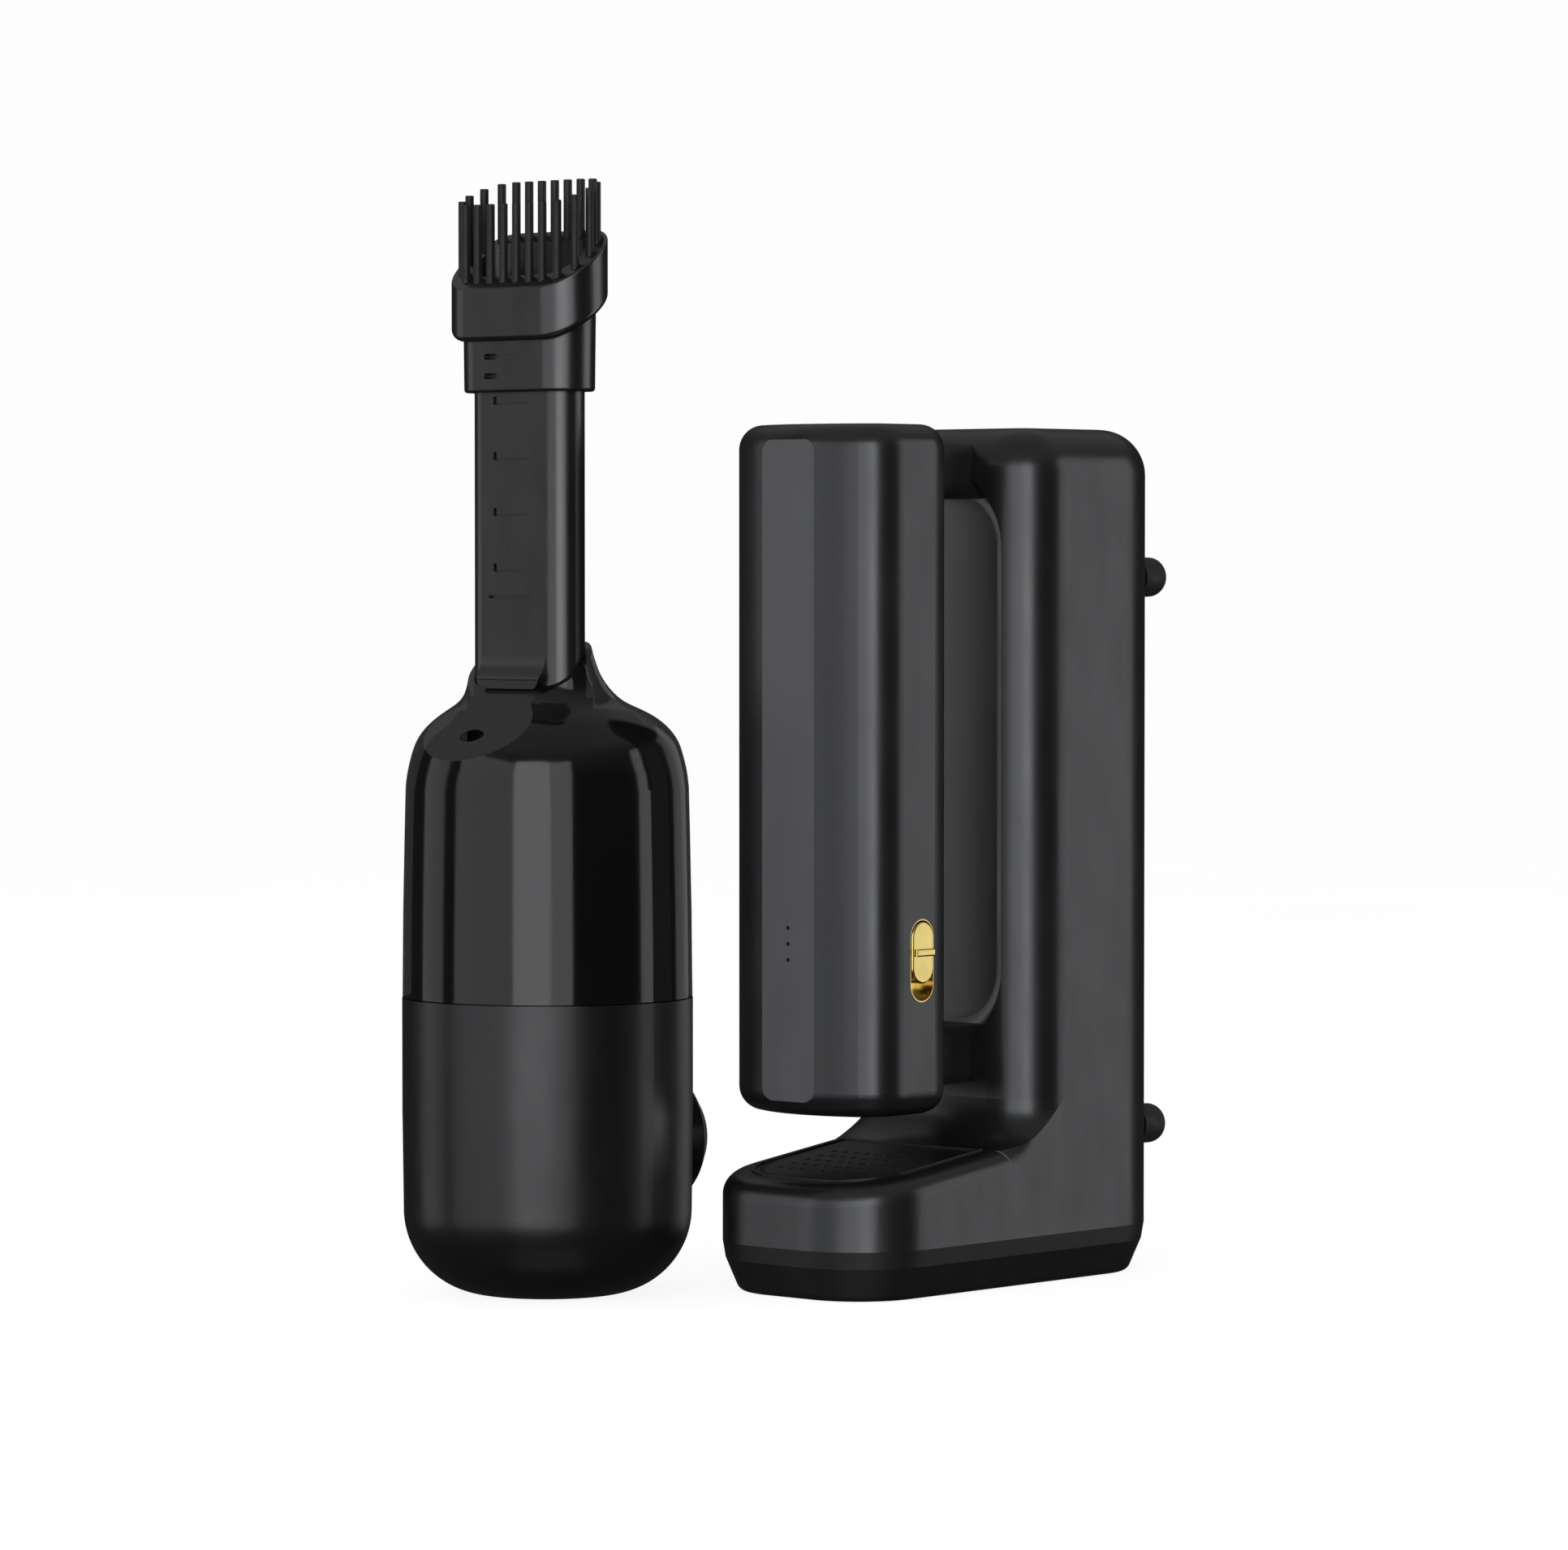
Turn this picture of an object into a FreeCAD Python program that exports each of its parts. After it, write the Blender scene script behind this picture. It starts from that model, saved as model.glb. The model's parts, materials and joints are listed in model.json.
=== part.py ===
import FreeCAD, Part
import math
import os

os.makedirs("parts", exist_ok=True)

# Cleaner: a bottle-shaped handheld vacuum standing on its base.
VX = -51.4            # vertical axis of the cleaner
VY = -85.7
HOUSING_R = 35.5
HOUSING_WALL = 2.0
HOUSING_TAPER = 0.3
HOUSING_TOP = 72.7
BASE_FLAT_R = 14.5
BASE_LIFT = 0.3
BASE_CAP_R = 20.0
CUP_BOTTOM = 73.0
CUP_WALL = 2.1
NECK_SLOPE = 0.836
NECK_FRONT_Z = 148.0

# Crevice nozzle and sliding brush, offset to the front of the cup.
NY = VY - 6.1
NOZZLE_FLAT = 11.0    # half the flat length of the flattened tube
NOZZLE_R = 5.5
NOZZLE_WALL = 1.6
NOZZLE_BOTTOM = 133.0
SLIDE_GAP = 0.3
SOCKET_BOTTOM = 130.3
SOCKET_TOP = 146.0
SOCKET_R = 7.4
NOTCH_PITCH = 13.5
LIP_HALF_X = 10.8
LIP_OUT = 2.2
LIP_TOP = 158.0
SLEEVE_BOTTOM = 220.0
SLEEVE_FRONT = 239.0
SLEEVE_TOP = 252.0
SLEEVE_TOP_SLOPE = 0.65
SLEEVE_FLAT = 11.5
SLEEVE_R = 8.0
HEAD_FLAT = 12.5
HEAD_R = 10.0
HEAD_TOP_SLOPE = 0.75
HEAD_LOW_SLOPE = 0.7
HEAD_FRONT = 230.8
HEAD_TOP = 245.0
BRISTLE_COUNT = 22
BRISTLE_R = 1.05
BRISTLE_LOOP_R = 7.3

# Power button on the back of the cleaner.
BUTTON_Z = 36.3
BEZEL_R = 17.8
CAP_R = 13.2
BUTTON_OUT = 45.1

# Stand: a column with a sloped foot and a vertical grip in front of it.
STAND_HALF_X = 29.5
STAND_HALF_Y = 59.8
TOE_R = 22.0
REAR_R = 21.5
COLUMN_FRONT = 0.55
COLUMN_EDGE_R = 14.0
COLUMN_TOP = 212.0
TOP_FILLET = 11.5
BASE_SPLIT = 12.7
BASE_WAIST = 8.5
BASE_TAPER = 4.2
BASE_UNDER = 0.2
WALL = 2.5
BUMPER_Y = 64.8
FOOT_SLOPE = 0.127
FOOT_REF_Y = -0.45
FOOT_REF_Z = 35.6
FOOT_EDGE = 5.5
WEB_R = 12.0
RECESS_HALF = 20.0
RECESS_DEPTH = 8.0
RECESS_FILLET = 7.5
RECESS_Z0 = 57.5
RECESS_Z1 = 202.5
GRILLE_HALF_X = 23.0
GRILLE_FRONT = -53.0
GRILLE_BACK = -9.0

# Grip.
GRIP_Y = -35.6
GRIP_OFF_X = 13.2     # centres of the corner arcs
GRIP_OFF_Y = 5.2
GRIP_R = 11.7
GRIP_ANGLE = 60.0
GRIP_DEPTH = 20.4
GRIP_Z0 = 44.5
GRIP_Z1 = 212.3
GRIP_WALL = 2.2
GRIP_SPLIT = -24.0
GRIP_BACK = GRIP_Y + GRIP_DEPTH
FACET_HALF = 8.4
FACET_Y = GRIP_Y - 19.5
NECK_HALF_X = 10.5
LED_TOP = 90.2
LED_PITCH = 3.9
SWITCH_Z0 = 76.7
SWITCH_LEN = 15.1
SWITCH_HALF_Y = 3.9
SWITCH_OUT = 25.2
SWITCH_Y = GRIP_Y + 1.6
POCKET_Z0 = 72.2
POCKET_Z1 = 92.4
POCKET_HALF_Y = 4.4


def vec(x, y, z):
    return FreeCAD.Vector(x, y, z)


def box(x0, x1, y0, y1, z0, z1):
    return Part.makeBox(x1 - x0, y1 - y0, z1 - z0, vec(x0, y0, z0))


def disc(r, z0, z1, x=VX, y=VY):
    return Part.makeCylinder(r, z1 - z0, vec(x, y, z0))


def ring(r_in, r_out, z0, z1, x=VX, y=VY):
    return disc(r_out, z0, z1, x, y).cut(disc(r_in, z0 - 1, z1 + 1, x, y))


def rod_y(r, y0, y1, x, z):
    return Part.makeCylinder(r, y1 - y0, vec(x, y0, z), vec(0, 1, 0))


def rod_x(r, x0, x1, y, z):
    return Part.makeCylinder(r, x1 - x0, vec(x0, y, z), vec(1, 0, 0))


def wire(path, place):
    """Closed wire: a pair is a line to that point, a four is an arc through a point to an end."""
    edges = []
    here = path[0]
    for step in path[1:]:
        end = step[-2:]
        if len(step) == 4:
            edges.append(Part.Arc(place(*here), place(*step[:2]), place(*end)).toShape())
        else:
            edges.append(Part.makeLine(place(*here), place(*end)))
        here = end
    if abs(here[0] - path[0][0]) + abs(here[1] - path[0][1]) > 1e-7:
        edges.append(Part.makeLine(place(*here), place(*path[0])))
    return Part.Wire(edges)


def turned(path, x=VX, y=VY):
    face = Part.Face(wire(path, lambda r, z: vec(x + r, y, z)))
    return face.revolve(vec(x, y, 0), vec(0, 0, 1), 360)


def side_prism(path, x0, x1):
    """Profile in Y and Z, pulled along X."""
    face = Part.Face(wire(path, lambda y, z: vec(x0, y, z)))
    return face.extrude(vec(x1 - x0, 0, 0))


def stadium_wire(flat, r, z, x, y):
    path = [(-flat, -r), (flat, -r), (flat + r, 0, flat, r), (-flat, r), (-flat - r, 0, -flat, -r)]
    return wire(path, lambda a, b: vec(x + a, y + b, z))


def stadium(flat, r, z0, z1, x=VX, y=NY):
    return Part.Face(stadium_wire(flat, r, z0, x, y)).extrude(vec(0, 0, z1 - z0))


def stadium_tube(flat, r_in, r_out, z0, z1, x=VX, y=NY):
    return stadium(flat, r_out, z0, z1, x, y).cut(stadium(flat, r_in, z0 - 1, z1 + 1, x, y))


def slot_y(half_w, z0, z1, y0, y1, x):
    """Upright slot with round ends, pulled along Y."""
    body = box(x - half_w, x + half_w, y0, y1, z0 + half_w, z1 - half_w)
    ends = [rod_y(half_w, y0, y1, x, z0 + half_w), rod_y(half_w, y0, y1, x, z1 - half_w)]
    return body.multiFuse(ends)


def slot_x(half_w, z0, z1, x0, x1, y):
    """Upright slot with round ends, pulled along X."""
    body = box(x0, x1, y - half_w, y + half_w, z0 + half_w, z1 - half_w)
    ends = [rod_x(half_w, x0, x1, y, z0 + half_w), rod_x(half_w, x0, x1, y, z1 - half_w)]
    return body.multiFuse(ends)


def edges_at(shape, test):
    return [e for e in shape.Edges if all(test(v.Point) for v in e.Vertexes)]


def rounded(shape, radius, test):
    return shape.makeFillet(radius, edges_at(shape, test))


def above(z):
    return lambda p: p.z > z - 1e-4


def below(z):
    return lambda p: p.z < z + 1e-4


def at_angle(r, degrees, x=VX, y=VY):
    a = math.radians(degrees)
    return x + r * math.cos(a), y + r * math.sin(a)


def save(name, shape):
    shape.exportStep(os.path.join("parts", name + ".step"))


# ---------------------------------------------------------------- cleaner housing
def housing_outline(inset):
    """Outside of the housing, moved in by a wall: a round-bottomed can."""
    arc_r = HOUSING_R - HOUSING_TAPER - BASE_FLAT_R - inset
    cz = BASE_LIFT + arc_r + inset
    mid = arc_r * math.sqrt(0.5)
    r_out = HOUSING_R - inset
    return [
        (0, BASE_LIFT + inset),
        (BASE_FLAT_R, BASE_LIFT + inset),
        (BASE_FLAT_R + mid, cz - mid, BASE_FLAT_R + arc_r, cz),
        (r_out, 45.0),
        (r_out, HOUSING_TOP),
        (0, HOUSING_TOP),
    ]


def button_hole():
    return rod_y(BEZEL_R, VY + 25, VY + 45, VX, BUTTON_Z)


def exhaust_slots():
    slots = []
    for step in range(-3, 4):
        slot = box(VX - 0.9, VX + 0.9, VY + 25, VY + 40, 57.5, 67.5)
        slots.append(slot.rotate(vec(VX, VY, 0), vec(0, 0, 1), 7.0 * step))
    return slots


def port_hole():
    hole = box(VX - 40, VX - 30, VY - 2.9, VY + 2.9, 28.4, 31.6)
    return hole.multiFuse([rod_x(1.6, VX - 40, VX - 30, VY + s, 30.0) for s in (-2.9, 2.9)])


def make_housing():
    shell = turned(housing_outline(0)).cut(turned(housing_outline(HOUSING_WALL)))
    inner = HOUSING_R - HOUSING_WALL
    ledges = ring(inner - 2.0, inner + 0.5, 68.7, 70.2).fuse(ring(inner - 1.6, inner + 0.5, 52.6, 54.2))
    body = shell.fuse(ledges)
    body = body.cut(disc(BASE_CAP_R, -1, 10))
    return body.cut(Part.makeCompound([button_hole(), port_hole()] + exhaust_slots()))


def screw_spots():
    return [at_angle(14.0, a) for a in (90, 210, 330)]


def make_base_cap():
    dish = turned(housing_outline(0)).cut(turned(housing_outline(2.5)))
    cap = dish.common(disc(BASE_CAP_R, -1, 10))
    cap = cap.cut(ring(6.4, 10.1, -1, 1.5))
    for x, y in screw_spots():
        cap = cap.cut(disc(2.6, -1, 1.9, x, y).fuse(disc(1.25, 0, 10, x, y)))
    return cap


def make_base_screws():
    screws = []
    for x, y in screw_spots():
        head = disc(2.4, 1.0, 1.9, x, y).fuse(disc(1.2, 1.9, 8.0, x, y))
        screws.append(head.cut(box(x - 0.3, x + 0.3, y - 1.6, y + 1.6, 0.5, 1.4)))
    return Part.makeCompound(screws)


def cell_spots():
    return [at_angle(10.7, a) for a in (30, 150, 270)]


def make_cell_holder():
    lower = disc(22.5, 9.5, 11.5)
    upper = disc(22.5, 46.3, 47.3)
    posts = [disc(2.5, 11.0, 46.5, *at_angle(18.0, a)) for a in (90, 210, 330)]
    legs = [disc(3.0, 3.0, 9.6, x, y) for x, y in screw_spots()]
    body = lower.multiFuse([upper] + posts + legs)
    for x, y in screw_spots():
        body = body.cut(disc(1.25, 2, 8.2, x, y))
    return body


def make_battery():
    cells = []
    for x, y in cell_spots():
        cells.append(disc(9.1, 11.5, 45.6, x, y).fuse(disc(3.0, 45.5, 46.3, x, y)))
    return Part.makeCompound(cells)


def make_bezel():
    y0 = VY + 29.0
    path = [
        (3.0, 0), (BEZEL_R - 0.05, 0), (BEZEL_R - 0.05, 8.3), (16.8, 9.8, 15.2, 10.5),
        (13.9, 10.5), (13.5, 10.1), (13.5, 7.0), (15.5, 7.0), (15.5, 1.4), (3.0, 1.4),
    ]
    face = Part.Face(wire(path, lambda r, y: vec(VX + r, y0 + y, BUTTON_Z)))
    return face.revolve(vec(VX, 0, BUTTON_Z), vec(0, 1, 0), 360)


def make_button():
    y0 = VY + 31.9
    crown = BUTTON_OUT - 31.9
    path = [
        (0, 0), (14.9, 0), (14.9, 1.6), (CAP_R, 1.6), (CAP_R, crown - 2.4),
        (12.5, crown - 1.1, 11.0, crown - 0.5), (0, crown),
    ]
    face = Part.Face(wire(path, lambda r, y: vec(VX + r, y0 + y, BUTTON_Z)))
    cap = face.revolve(vec(VX, 0, BUTTON_Z), vec(0, 1, 0), 360)
    return cap.fuse(rod_y(2.0, VY + 28.6, VY + 32.5, VX, BUTTON_Z))


def make_button_switch():
    body = box(VX - 3.5, VX + 3.5, VY + 20.5, VY + 24.5, BUTTON_Z - 3.5, BUTTON_Z + 3.5)
    return body.fuse(rod_y(1.6, VY + 24, VY + 27, VX, BUTTON_Z))


def make_control_board():
    board = box(VX - 25.0, VX - 23.6, VY - 13, VY + 13, 13, 44)
    chips = [
        box(VX - 26.4, VX - 25.0, VY - 9, VY - 3, 36, 42),
        box(VX - 26.0, VX - 25.0, VY + 3, VY + 9, 18, 26),
    ]
    return board.multiFuse(chips)


def make_charge_port():
    outer = box(VX - 35.0, VX - 25.0, VY - 2.9, VY + 2.9, 28.5, 31.5)
    outer = outer.multiFuse([rod_x(1.5, VX - 35.0, VX - 25.0, VY + s, 30.0) for s in (-2.9, 2.9)])
    hollow = box(VX - 36, VX - 28, VY - 2.9, VY + 2.9, 29.0, 31.0)
    hollow = hollow.multiFuse([rod_x(1.0, VX - 36, VX - 28, VY + s, 30.0) for s in (-2.9, 2.9)])
    tongue = box(VX - 34.0, VX - 27.5, VY - 2.4, VY + 2.4, 29.7, 30.3)
    return outer.cut(hollow).fuse(tongue)


# ---------------------------------------------------------------- motor and fan
MOTOR_R = 12.0
MOTOR_Z0 = 47.6
MOTOR_Z1 = 61.4
SHAFT_R = 1.5
BEARING_R = 4.0


def make_motor_can():
    can = disc(MOTOR_R, MOTOR_Z0, MOTOR_Z1).cut(disc(10.8, MOTOR_Z0 + 1.5, MOTOR_Z1 - 1.5))
    seats = disc(BEARING_R, MOTOR_Z0 - 1, MOTOR_Z0 + 2.5).fuse(disc(BEARING_R, MOTOR_Z1 - 2.5, MOTOR_Z1 + 1))
    return can.cut(seats)


def make_bearing(z0):
    return ring(SHAFT_R + 0.05, BEARING_R, z0, z0 + 2.4)


def make_shaft():
    return disc(SHAFT_R, MOTOR_Z0 - 0.2, 69.0).fuse(disc(9.0, 51.5, 57.5))


def make_impeller():
    body = disc(20.5, 63.0, 64.2).fuse(disc(4.0, 63.0, 68.2))
    blades = []
    for k in range(9):
        blade = box(VX + 3.0, VX + 20.0, VY - 0.5, VY + 0.5, 64.0, 67.8)
        blade = blade.rotate(vec(VX + 3.0, VY, 0), vec(0, 0, 1), 24)
        blades.append(blade.rotate(vec(VX, VY, 0), vec(0, 0, 1), 40.0 * k))
    body = body.multiFuse([b.common(disc(20.4, 60, 70)) for b in blades])
    return body.cut(disc(SHAFT_R, 60, 72))


def make_motor_mount():
    return ring(MOTOR_R, HOUSING_R - HOUSING_WALL - 0.1, 54.2, 55.8).cut(button_hole())


def make_diffuser():
    body = ring(MOTOR_R, 25.4, 60.4, 61.8)
    vanes = []
    for k in range(12):
        vane = box(VX + MOTOR_R + 0.5, VX + 24.0, VY - 0.5, VY + 0.5, 56.2, 60.6)
        vanes.append(vane.rotate(vec(VX, VY, 0), vec(0, 0, 1), 30.0 * k))
    slots = []
    for k in range(12):
        slot = box(VX + 21.0, VX + 23.5, VY - 2.2, VY + 2.2, 59, 63)
        slots.append(slot.rotate(vec(VX, VY, 0), vec(0, 0, 1), 30.0 * k + 15.0))
    return body.multiFuse(vanes).cut(Part.makeCompound(slots))


def make_fan_shroud():
    return ring(21.2, 25.4, 61.8, 70.2).cut(disc(21.2, 60, 68.8)).fuse(ring(9.0, 25.4, 68.8, 70.2))


def make_exhaust_filter():
    pad = ring(29.2, 32.6, 56.5, 68.6)
    wedge = box(VX - 13.5, VX + 13.5, VY + 20, VY + 40, 50, 75)
    return pad.common(wedge)


# ---------------------------------------------------------------- filter stack on the deck
def make_deck():
    plate = ring(13.0, HOUSING_R - HOUSING_WALL - 0.1, 70.2, 72.2)
    return plate.fuse(ring(30.4, 32.2, 72.0, 79.5))


def make_deck_screws():
    screws = []
    for a in (45, 135, 225, 315):
        x, y = at_angle(28.6, a)
        screw = disc(1.5, 72.2, 73.3, x, y)
        screws.append(screw.cut(box(x - 0.25, x + 0.25, y - 1.1, y + 1.1, 72.8, 74)))
    return Part.makeCompound(screws)


def make_seal():
    path = [(32.2, 74.2), (32.2, 77.2), (32.7, 77.2), (33.05, 76.4), (33.05, 75.0), (32.7, 74.2)]
    return turned(path)


def make_filter_frame():
    lower = ring(13.0, 26.4, 72.2, 75.2)
    upper = disc(26.4, 105.0, 107.5).cut(disc(20.0, 106.3, 108))
    grip = box(VX - 9, VX + 9, VY - 1.0, VY + 1.0, 106.0, 110.5)
    ribs = []
    for k in range(4):
        rib = box(VX + 22.0, VX + 24.2, VY - 1.2, VY + 1.2, 75.0, 105.2)
        ribs.append(rib.rotate(vec(VX, VY, 0), vec(0, 0, 1), 90.0 * k + 45.0))
    return lower.multiFuse([upper, grip] + ribs)


def make_pleats():
    points = []
    folds = 20
    for k in range(2 * folds):
        r = 20.5 if k % 2 else 15.5
        a = math.pi * k / folds
        points.append(vec(VX + r * math.cos(a), VY + r * math.sin(a), 75.2))
    face = Part.Face(Part.makePolygon(points + [points[0]]))
    return face.extrude(vec(0, 0, 29.8)).cut(disc(13.0, 70, 110))


def make_mesh_screen():
    tube = ring(24.4, 25.4, 75.2, 105.0)
    windows = []
    for k in range(16):
        for row in range(4):
            z0 = 77.0 + 6.8 * row
            window = box(VX + 22, VX + 27, VY - 3.6, VY + 3.6, z0, z0 + 5.6)
            windows.append(window.rotate(vec(VX, VY, 0), vec(0, 0, 1), 22.5 * k))
    return tube.cut(Part.makeCompound(windows))


# ---------------------------------------------------------------- dust cup
def cup_sections():
    """Height, end-centre offset, end radius, end half angle and forward shift, round at first."""
    return [
        (124.0, 0.0, 34.55, 45.0, 0.0),
        (127.0, 0.0, 34.2, 45.0, 0.0),
        (130.0, 0.0, 33.6, 45.0, 0.0),
        (133.0, 0.1, 32.7, 45.5, 0.0),
        (136.0, 0.5, 31.1, 47.0, 0.0),
        (139.0, 1.2, 28.2, 50.0, 0.1),
        (142.0, 3.0, 23.0, 58.0, 0.5),
        (145.0, 6.5, 15.4, 70.0, 1.9),
        (148.0, 9.3, 10.9, 78.0, 3.2),
        (151.0, 10.5, 8.7, 83.0, 4.3),
        (154.0, 10.9, 7.6, 86.0, 5.0),
        (157.0, 11.0, 7.1, 87.0, 5.7),
        (160.0, 11.0, 6.9, 88.0, 6.1),
        (163.0, 11.0, 6.9, 88.0, 6.1),
        (166.0, 11.0, 6.9, 88.0, 6.1),
    ]


def oval_wire(c, r, degrees, z, x, y):
    """Four tangent arcs: a circle when c is zero, close to a stadium as the angle nears 90."""
    a = math.radians(degrees)
    px = c + r * math.cos(a)
    py = r * math.sin(a)
    reach = r + c / math.cos(a) - c * math.tan(a)
    path = [(-px, -py), (0, -reach, px, -py), (c + r, 0, px, py), (0, reach, -px, py), (-c - r, 0, -px, -py)]
    return wire(path, lambda u, v: vec(x + u, y + v, z))


def flat_sided_wire(cx, cy, r, degrees, z, x, y):
    """Rounded box in plan: corner arcs, flat sides and gently bowed front and back."""
    a = math.radians(degrees)
    px = cx + r * math.cos(a)
    py = cy + r * math.sin(a)
    reach = cy + r + cx / math.cos(a) - cx * math.tan(a)
    mx = cx + r * math.cos(a / 2)
    my = cy + r * math.sin(a / 2)
    side = cx + r
    path = [
        (-px, -py), (0, -reach, px, -py), (mx, -my, side, -cy), (side, cy), (mx, my, px, py),
        (0, reach, -px, py), (-mx, my, -side, cy), (-side, -cy), (-mx, -my, -px, -py),
    ]
    return wire(path, lambda u, v: vec(x + u, y + v, z))


def loft(inset, drop, top):
    rows = [row for row in cup_sections() if row[0] <= top]
    wires = [oval_wire(c, r - inset, a, z - drop, VX, VY - s) for z, c, r, a, s in rows]
    return Part.makeLoft(wires, True, False)


def cup_barrel(inset, drop):
    z1 = 124.0 - drop
    sides = [(35.4 - inset, CUP_BOTTOM), (35.2 - inset, 94), (34.8 - inset, 114), (34.55 - inset, z1)]
    return turned([(0, CUP_BOTTOM)] + sides + [(0, z1)])


def make_dust_cup():
    outer = cup_barrel(0, 0).fuse(loft(0, 0, 170))
    inner = cup_barrel(CUP_WALL, CUP_WALL).fuse(loft(CUP_WALL, CUP_WALL, 146))
    y_front = NY - 7.0
    far = 40.0
    rim_cut = side_prism(
        [
            (y_front - far, NECK_FRONT_Z - NECK_SLOPE * far),
            (y_front + far, NECK_FRONT_Z + NECK_SLOPE * far),
            (y_front + far, NECK_FRONT_Z + 60),
            (y_front - far, NECK_FRONT_Z + 60),
        ],
        VX - 30,
        VX + 30,
    )
    cup = outer.cut(inner).cut(rim_cut)
    cup = cup.cut(stadium(NOZZLE_FLAT, NOZZLE_R + SLIDE_GAP, 120, 180))
    return cup.cut(stadium(NOZZLE_FLAT, SOCKET_R, 120, SOCKET_TOP))


FLAP_Y = NY + 9.6
FLAP_Z = 129.4


def make_socket():
    tube = stadium_tube(NOZZLE_FLAT, NOZZLE_R + SLIDE_GAP, SOCKET_R, SOCKET_BOTTOM, SOCKET_TOP)
    lugs = []
    for side in (-1, 1):
        a, b = sorted((VX + side * 12.3, VX + side * 14.5))
        lugs.append(box(a, b, NY + 6.3, NY + 11.4, 130.7, 134.0))
        lugs.append(box(a, b, NY + 7.9, NY + 11.4, 127.8, 131.0))
    body = tube.multiFuse(lugs)
    body = body.cut(stadium(NOZZLE_FLAT, NOZZLE_R + SLIDE_GAP, 120, 150))
    return body.cut(rod_x(0.85, VX - 20, VX + 20, FLAP_Y, FLAP_Z))


def make_flap():
    plate = stadium(NOZZLE_FLAT, 7.1, 128.9, 129.9)
    tab = box(VX - 11, VX + 11, NY, FLAP_Y, 128.9, 129.9)
    barrel = rod_x(1.1, VX - 12, VX + 12, FLAP_Y, FLAP_Z)
    pin = rod_x(0.8, VX - 14.4, VX + 14.4, FLAP_Y, FLAP_Z)
    return plate.multiFuse([tab, barrel, pin])


# ---------------------------------------------------------------- nozzle and brush
def tilted_cut(y_front, z_front, slope, upward):
    """Everything above (or below) a plane that rises to the back."""
    far = 40.0
    limit = 80.0 if upward else -80.0
    path = [
        (y_front - far, z_front - slope * far),
        (y_front + far, z_front + slope * far),
        (y_front + far, z_front + limit),
        (y_front - far, z_front + limit),
    ]
    return side_prism(path, VX - 40, VX + 40)


def groove(z, half_w, half_h, depth, y_face, x_shift=0.0):
    """Shallow flat groove with round ends in a front face."""
    x = VX + x_shift
    flat = half_w - half_h
    body = box(x - flat, x + flat, y_face - 1, y_face + depth, z - half_h, z + half_h)
    ends = [rod_y(half_h, y_face - 1, y_face + depth, x + s * flat, z) for s in (-1, 1)]
    return body.multiFuse(ends)


def nozzle_lip(face):
    """Thumb lip that flares out of the front face just above the cup."""
    under = NECK_FRONT_Z + 1.5 * NECK_SLOPE + 0.4
    path = [
        (face + 0.5, LIP_TOP), (face, LIP_TOP), (face - 0.3, 154.6, face - LIP_OUT + 0.3, 151.4),
        (face - LIP_OUT, 150.8, face - LIP_OUT + 0.1, 150.2),
        (face - LIP_OUT + 0.4, under - NECK_SLOPE * (LIP_OUT - 0.4)), (face + 0.5, under + NECK_SLOPE * 0.5),
    ]
    flare = side_prism(path, VX - 30, VX + 30)
    outline = box(VX - LIP_HALF_X, VX + LIP_HALF_X, face - 5, face + 2, 147.0, LIP_TOP + 4)
    low = [e for e in outline.Edges if e.BoundBox.ZMax < 147.1 and e.BoundBox.YLength > 2]
    return flare.common(outline.makeFillet(6.0, low))


def make_nozzle():
    tube = stadium_tube(NOZZLE_FLAT, NOZZLE_R - NOZZLE_WALL, NOZZLE_R, NOZZLE_BOTTOM, 245)
    tube = tube.cut(tilted_cut(NY - NOZZLE_R, 233.0, HEAD_TOP_SLOPE, True))
    face = NY - NOZZLE_R
    marks = [groove(170.4, 7.4, 0.4, 0.8, face, -1.1)]
    for k in range(4):
        z = 218.0 - NOTCH_PITCH * k
        marks.append(box(VX - 6.8, VX - 5.8, face - 1, face + 1.0, z - 1.0, z + 1.0))
        marks.append(box(VX - 5.8, VX + 4.7, face - 1, face + 0.5, z - 1.0, z - 0.6))
    return tube.cut(Part.makeCompound(marks)).fuse(nozzle_lip(face))


def sleeve_top():
    return tilted_cut(NY - SLEEVE_R, SLEEVE_FRONT, SLEEVE_TOP_SLOPE, True)


def make_sleeve():
    wires = [
        stadium_wire(SLEEVE_FLAT - 0.3, SLEEVE_R - 0.15, SLEEVE_BOTTOM, VX, NY),
        stadium_wire(SLEEVE_FLAT, SLEEVE_R, SLEEVE_TOP, VX, NY),
    ]
    outer = Part.makeLoft(wires, True, True)
    outer = rounded(outer, 0.8, below(SLEEVE_BOTTOM)).cut(sleeve_top())
    body = outer.cut(stadium(NOZZLE_FLAT, NOZZLE_R + SLIDE_GAP, 200, 250))
    face = NY - SLEEVE_R
    marks = []
    for z in (228.6, 223.9):
        marks.append(groove(z, 6.4, 0.5, 0.4, face, -1.2))
        marks.append(groove(z, 2.3, 0.7, 1.8, face, -5.4))
    return body.cut(Part.makeCompound(marks))


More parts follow.
